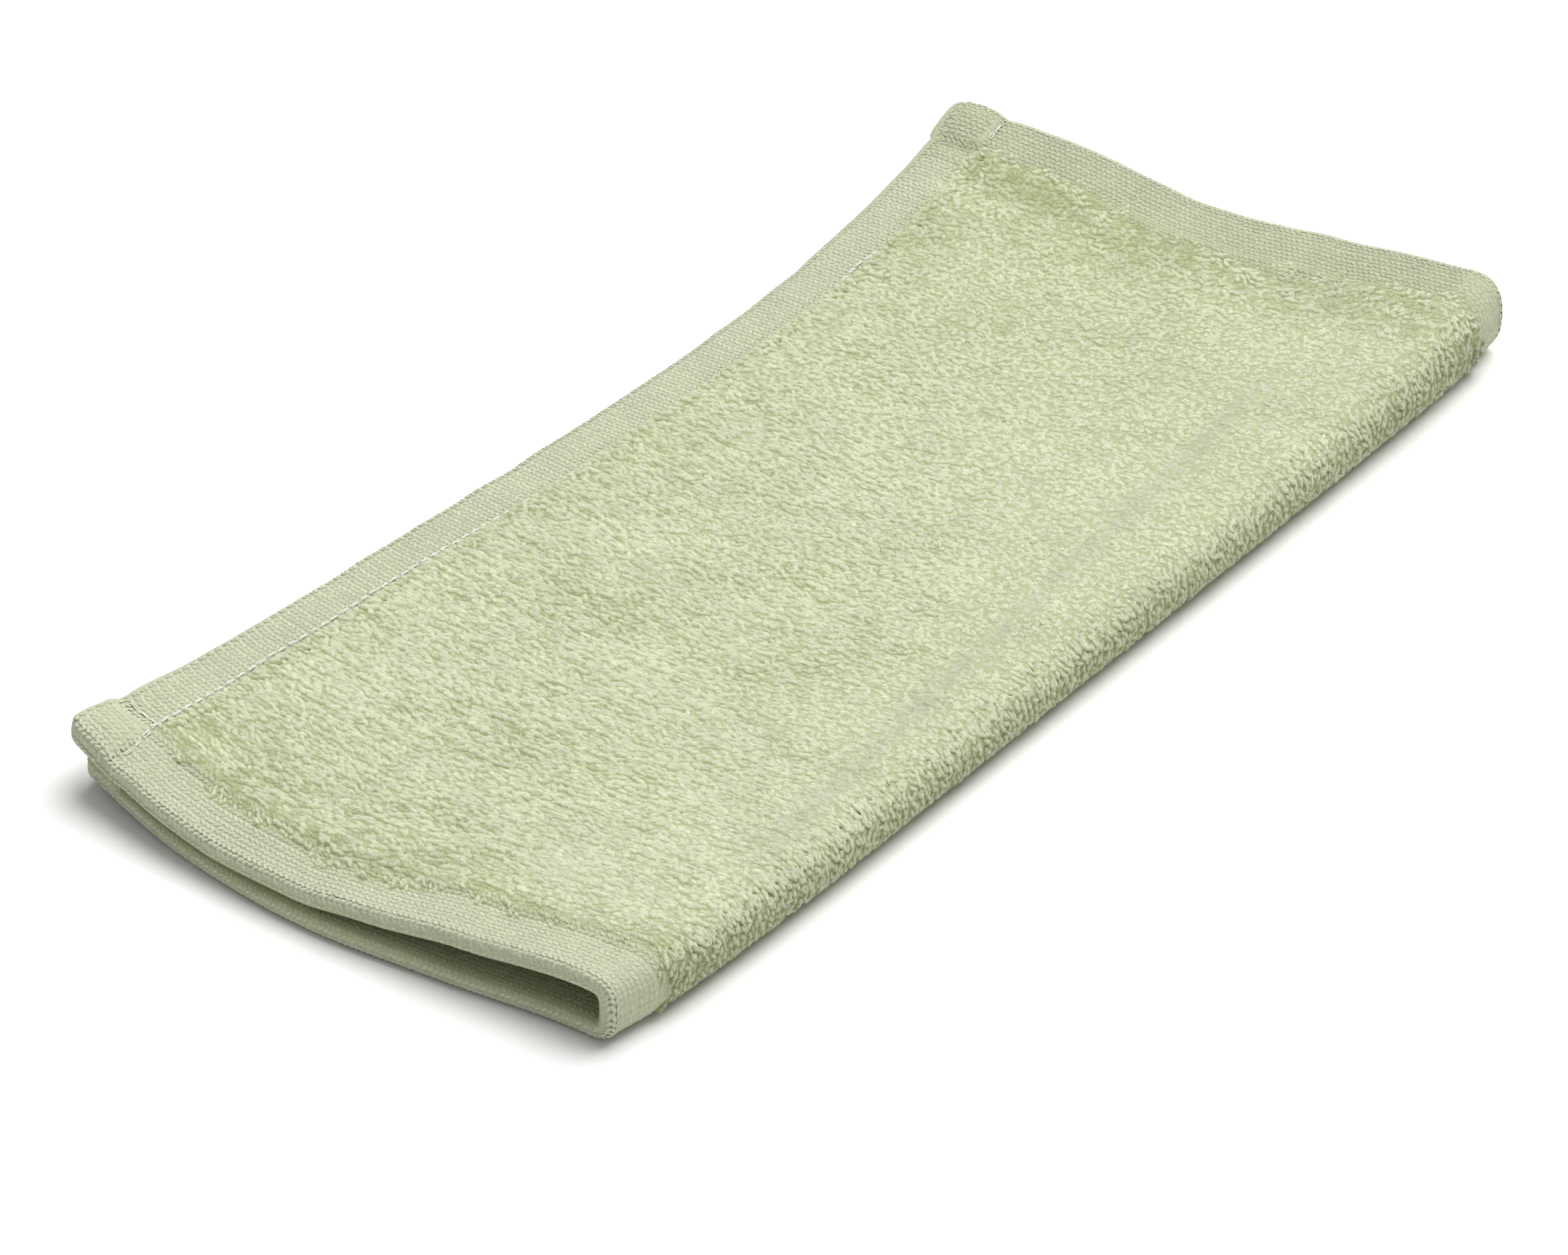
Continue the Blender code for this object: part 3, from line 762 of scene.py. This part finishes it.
# Legs of the stitches: each starts wide of its wale's middle and ends close to it,
# a little over a course on. How pale they are = 1 less a bell curve beside the pile, and less
# on the far end hem: both are painted shade
def stitchLegs(readAt, wale, course, rng, flip=1.0, girth=None):
    starts, ends, ups = [], [], []
    for side in (-1.0, 1.0):
        jitter = rng.normal(0, knit["jitter"], (4, len(wale)))
        wideOff, closeOff = (side * knit[key] * knit["wale"] for key in ("footWide", "footClose"))
        begin = readAt(wale + wideOff + jitter[0], course + jitter[1])
        finish = readAt(wale + closeOff + jitter[2],
                        course + flip * knit["overlap"] * knit["course"] + jitter[3])
        up = unit(begin[1] + finish[1])
        starts.append(begin[0] + 0.02 * up)
        ends.append(finish[0] + 0.04 * up)
        ups.append(up)
    beside = np.ones(len(wale))
    if girth is not None:
        outside = np.minimum(insidePile(girth, wale), 0.0) / knit["shadeReach"]
        beside = beside - knit["besideShade"] * np.exp(-(outside**2))
    beside = beside * np.where(wale > knit["farFrom"], knit["farShade"], 1.0)
    return np.concatenate(starts), np.concatenate(ends), np.concatenate(ups), np.tile(beside, 2)


# Place and facing direction on the outer and on the inner face
def outerAt(t, s):
    return readGrid(grid, "outer", s, t), unit(readGrid(grid, "up", s, t))


def innerAt(t, s):
    return readGrid(grid, "inner", s, t), -unit(readGrid(grid, "normal", s, t))


# Every pair of a value of one list and a value of the other
def meshOf(a, b):
    a, b = np.meshgrid(a, b)
    return a.reshape(-1), b.reshape(-1)


# A closed yarn on each leg = start + (finish - start) * share, with a pole at each end
# and one or two rings between
def knitPiece(name, legs, ringShares, high, soft, seed, pale=1.0):
    starts, finishes, ups, beside = (np.concatenate(part) for part in zip(*legs))
    rng = np.random.default_rng(seed)
    shares = np.concatenate([[0.0], ringShares, [1.0]])
    paths = starts[:, None] + (finishes - starts)[:, None] * shares[:, None]
    across = unit(np.cross(ups, finishes - starts))
    full = np.ones((len(starts), len(ringShares)))
    vertices, faces, facing = closedYarn(paths, across, knit["legWide"] * full, high * full,
                                         stitchSection)
    vertices[..., 2] = np.maximum(vertices[..., 2], 0.0)
    tone = np.broadcast_to(rng.uniform(size=len(starts))[:, None], vertices.shape[:2])
    reach = np.repeat(pale * beside[:, None], vertices.shape[1], 1)
    reach[:, 0] *= 0.3      # painted shade: a leg's foot lies deep, so it is drawn darker
    return makePiece(name, vertices, faces, knitCotton, {"reach": reach, "tone": tone},
                     normals=softFacing(facing, ups, soft))


rng = np.random.default_rng(knit["seed"])
course, wale = knit["course"], knit["wale"]
inset = cloth["edgeRound"]
endWales = inset + wale * (0.5 + np.arange(7))          # wales over an end hem
sideCourses = np.arange(inset, cloth["sideHem"] + 0.3, course)
fieldWales = np.arange(cloth["endHem"] - 0.2, cloth["length"] - cloth["endHem"], wale)


# End hems and side hem of one layer, between girth s0 and s1
def hemLegs(s0, s1, sideFrom, sideStep):
    legs = []
    for base, direction in ((0.0, 1.0), (cloth["length"], -1.0)):
        w, c = meshOf(base + direction * endWales, np.arange(s0, s1, course))
        # the stitches go on a little under the pile, and on a side hem stop at its own
        deep = np.where(np.minimum(c, girthAll - c) > cloth["sideHem"], 23.0, 14.0)
        bare = (insidePile(c, w) < 1.5) & (np.abs(w - base) < deep)
        legs.append(stitchLegs(outerAt, w[bare], c[bare], rng, girth=c[bare]))
    w, c = meshOf(fieldWales, sideFrom + sideStep * sideCourses)
    legs.append(stitchLegs(outerAt, w, c, rng))
    return legs


layerEnd = girthTop + 6
knitTop = knitPiece("knitTop", hemLegs(inset, layerEnd, 0.0, 1.0), (0.25, 0.75),
                    knit["legHigh"], 0.5, 61)
knitUnder = knitPiece("knitUnder", hemLegs(layerEnd, girthAll - inset, girthAll, -1.0), (0.5,),
                      knit["legHigh"], 0.5, 62)


# Lips: along the ends a wale follows the edge, along the sides wales cross it
def lipLegs():
    legs = []
    for edge in ("near", "far"):
        for arc in (0.95, 3.35, 5.75):
            along = np.arange(inset, girthAll - inset, course)
            legs.append(stitchLegs(lambda a, b: lipAt(edge, b, a), np.full(along.shape, arc),
                                   along, rng))
    for edge in ("top", "low"):
        w, c = meshOf(np.arange(inset, cloth["length"] - inset, wale), course * np.arange(0, 5))
        legs.append(stitchLegs(lambda a, b: lipAt(edge, a, b), w, c, rng, 0.9))
    return legs


knitLips = knitPiece("knitLips", lipLegs(), (0.25, 0.75), knit["lipHigh"], 0.4, 63)


# Inner face: the plain side of the knit, shown at the mouth of the fold, drawn darker as painted
# shade inside the fold
def insideLegs():
    legs = []
    for base, direction in ((0.0, 1.0), (cloth["length"], -1.0)):
        w, c = meshOf(base + direction * (inset + wale * (0.5 + np.arange(4))),
                      np.arange(inset, girthAll - inset, course))
        legs.append(stitchLegs(innerAt, w, c, rng))
    return legs


# paleness 0.2: painted shade inside the fold's mouth
knitInside = knitPiece("knitInside", insideLegs(), (0.5,), knit["legHigh"], 0.2, 64, 0.2)
print("towel: hems knitted")

# Sewing along the inner edge of the hems
sewing = {
    "stitch": 3.0, "gap": 0.05,
    "thread": 0.13,         # half its thickness
    "apart": 0.20,          # how far its two strands lie from the middle
    "high": 0.20,           # arch of a stitch
    "over": 0.17,           # and how far over the cloth it lies
    "hidden": 0.7,          # how far it sinks where it doesn't show
    "jitter": 0.12, "wander": 0.06,     # of a stitch, and of each point of it
    "patchSeams": ((15.6, 15.9), (286.0, 285.6)),
    "seed": 71,
}


# Stitches along each line of the seams: path = cloth + up * (arch of the stitch +
# a fixed height), in two strands, one to each side of the line
def seamPiece():
    rng = np.random.default_rng(sewing["seed"])
    pitch = sewing["stitch"] + sewing["gap"]
    lines = []
    side, last = cloth["sideHem"] + 0.35, cloth["length"] - 2
    seams = [(s, s, 4, last) for s in (side, girthAll - side)]
    seams += [(2.5, side + 0.5, t0, t1) for t0, t1 in sewing["patchSeams"]]
    for s0, s1, t0, t1 in seams:
        length = abs(s1 - s0) + abs(t1 - t0)
        begin = np.arange(0, length - pitch, pitch)
        share = (begin[:, None] + sewing["stitch"] * np.linspace(0, 1, 5)) / length
        aside = sewing["apart"] * np.array([t0 - t1, s1 - s0]) / length
        for strand in (-1, 1):
            lines.append(np.stack([s0 + (s1 - s0) * share, t0 + (t1 - t0) * share], -1)
                         + strand * aside)
    lines = np.concatenate(lines)
    lines = (lines + rng.normal(0, sewing["jitter"], (len(lines), 1, 2))
             + rng.normal(0, sewing["wander"], lines.shape))
    s, t = lines[..., 0], lines[..., 1]
    s = s + 1.8 * (1 - smoothStep((t - 4) / 10)) * (s < 20) * (s > side - 1)
    up = unit(readGrid(grid, "up", s, t))
    arch = sewing["high"] * np.array([-0.8, 0.75, 1.0, 0.75, -0.8])
    hem = np.maximum(readGrid(grid, "side", s, t), readGrid(grid, "end", s, t))
    lift = arch + sewing["over"] + (1 - hem) * cloth["pileDrop"]
    # it shows at the near end, at one place further on and at the far end
    shown = 1 - smoothStep((t - 80) / 50) + np.exp(-(((t - 236) / 5) ** 2)) + smoothStep(t - 290)
    lift = lift - sewing["hidden"] * (1 - np.clip(shown, 0, 1))
    paths = readGrid(grid, "outer", s, t) + up * lift[..., None]
    cross = unit(np.cross(up[:, 2], paths[:, -1] - paths[:, 0]))
    radius = sewing["thread"] * np.ones(s[:, 1:-1].shape)
    vertices, faces, facing = closedYarn(paths, cross, radius, radius, roundSection)
    vertices[..., 2] = np.maximum(vertices[..., 2], 0.0)
    tone = np.broadcast_to(rng.uniform(size=len(paths))[:, None], vertices.shape[:2])
    return makePiece("seamThread", vertices, faces, whiteThread,
                     {"reach": np.ones(vertices.shape[:2]), "tone": tone},
                     normals=softFacing(facing, up[:, 2], 0.5))


seamThread = seamPiece()

pieces = pileTops + [pileFold, pileUnder, knitTop, knitUnder, knitLips, knitInside, seamThread]
for piece in [towelCloth] + pieces:
    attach(piece, "root")
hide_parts("folded_towel")

# Studio: a pale floor, a wide soft light from above and to the right, and a
# camera at the height and turn of the original view
studio = {
    "azimuth": 36.75, "elevation": 34.8, "distance": 1800.0, "right": -4.8, "up": 14.3,
    "below": 32.3,          # the ground that the view is measured from lies this much lower
    "lens": 199.5,
    "floor": (0.97, 0.97, 0.97, 1), "floorReach": 4000.0, "floorDeep": 0.05,
    "world": 0.32, "worldColour": (0.95, 0.97, 1.0, 1),
    "key": 580.0, "keyPlace": (0.2, 2.85, 5.8), "keySize": 6.8, "keyColour": (1.0, 0.99, 0.97),
}


# A flat fan of triangles: reach * (cosine, sine) of each turn round its middle
def makeFloor():
    count, low = 64, -studio["floorDeep"]
    turn = 2 * np.pi * np.arange(count) / count
    rim = np.stack([np.cos(turn), np.sin(turn), np.zeros(count)], -1) * studio["floorReach"]
    points = np.concatenate([rim, np.zeros((1, 3))]) + np.array([0, 0, low])
    index = np.arange(count)
    faces = np.stack([index, np.roll(index, -1), np.full(count, count)], -1)
    material = bpy.data.materials.new("pale floor")
    material.use_nodes = True
    nodes, link = material.node_tree.nodes, material.node_tree.links.new
    shader = nodes["Principled BSDF"]
    setSockets(shader, {"Roughness": 0.7})
    place = nodes.new("ShaderNodeTexCoord").outputs["Object"]
    noise = addNode(nodes, "TexNoise", {"Scale": 4.0})
    dimmer = tuple(0.985 * v for v in studio["floor"][:3]) + (1,)
    uneven = addMix(nodes, {mixFirst: studio["floor"], mixSecond: dimmer})
    link(place, noise.inputs["Vector"])
    link(noise.outputs["Fac"], uneven.inputs[mixShare])
    link(uneven.outputs[mixColour], shader.inputs["Base Color"])
    floor = makePiece("floor", points, [faces], material)


# A wide round light, turned to the middle of the scene
def addLight():
    light = bpy.data.lights.new("softKey", "AREA")
    light.shape, light.size = "DISK", studio["keySize"]
    light.energy, light.color = studio["key"], studio["keyColour"]
    lamp = bpy.data.objects.new("softKey", light)
    back = unit(np.array(studio["keyPlace"]))
    side = unit(np.cross(np.array([0.0, 1.0, 0.0]), back))
    turn = Matrix(np.stack([side, np.cross(back, side), back], -1).tolist()).to_4x4()
    lamp.matrix_world = Matrix.Translation(studio["keyPlace"]) @ turn
    bpy.context.scene.collection.objects.link(lamp)


# Camera place = back * distance + right * shift + up * shift, from the turn and
# height of the view
def addCamera():
    a, e = math.radians(studio["azimuth"]), math.radians(studio["elevation"])
    back = np.array([math.sin(a) * math.cos(e), -math.cos(a) * math.cos(e), math.sin(e)])
    right = np.array([math.cos(a), math.sin(a), 0.0])
    up = np.cross(back, right)
    place = back * studio["distance"] + right * studio["right"] + up * studio["up"]
    place = (place - np.array([centre[0], centre[1], studio["below"]])) * mm
    data = bpy.data.cameras.new("studioCamera")
    data.sensor_width, data.lens = 36.0, studio["lens"]
    data.clip_start, data.clip_end = 0.05, 50.0
    camera = bpy.data.objects.new("studioCamera", data)
    turn = Matrix(np.stack([right, up, back], -1).tolist()).to_4x4()
    camera.matrix_world = Matrix.Translation(place) @ turn
    bpy.context.scene.collection.objects.link(camera)
    bpy.context.scene.camera = camera


makeFloor()
addLight()
addCamera()
world = bpy.data.worlds.new("paleRoom")
world.use_nodes = True
setSockets(world.node_tree.nodes["Background"], {"Color": studio["worldColour"],
                                                 "Strength": studio["world"]})
bpy.context.scene.world = world
bpy.context.scene.view_settings.view_transform = "Standard"
print("towel: studio set")
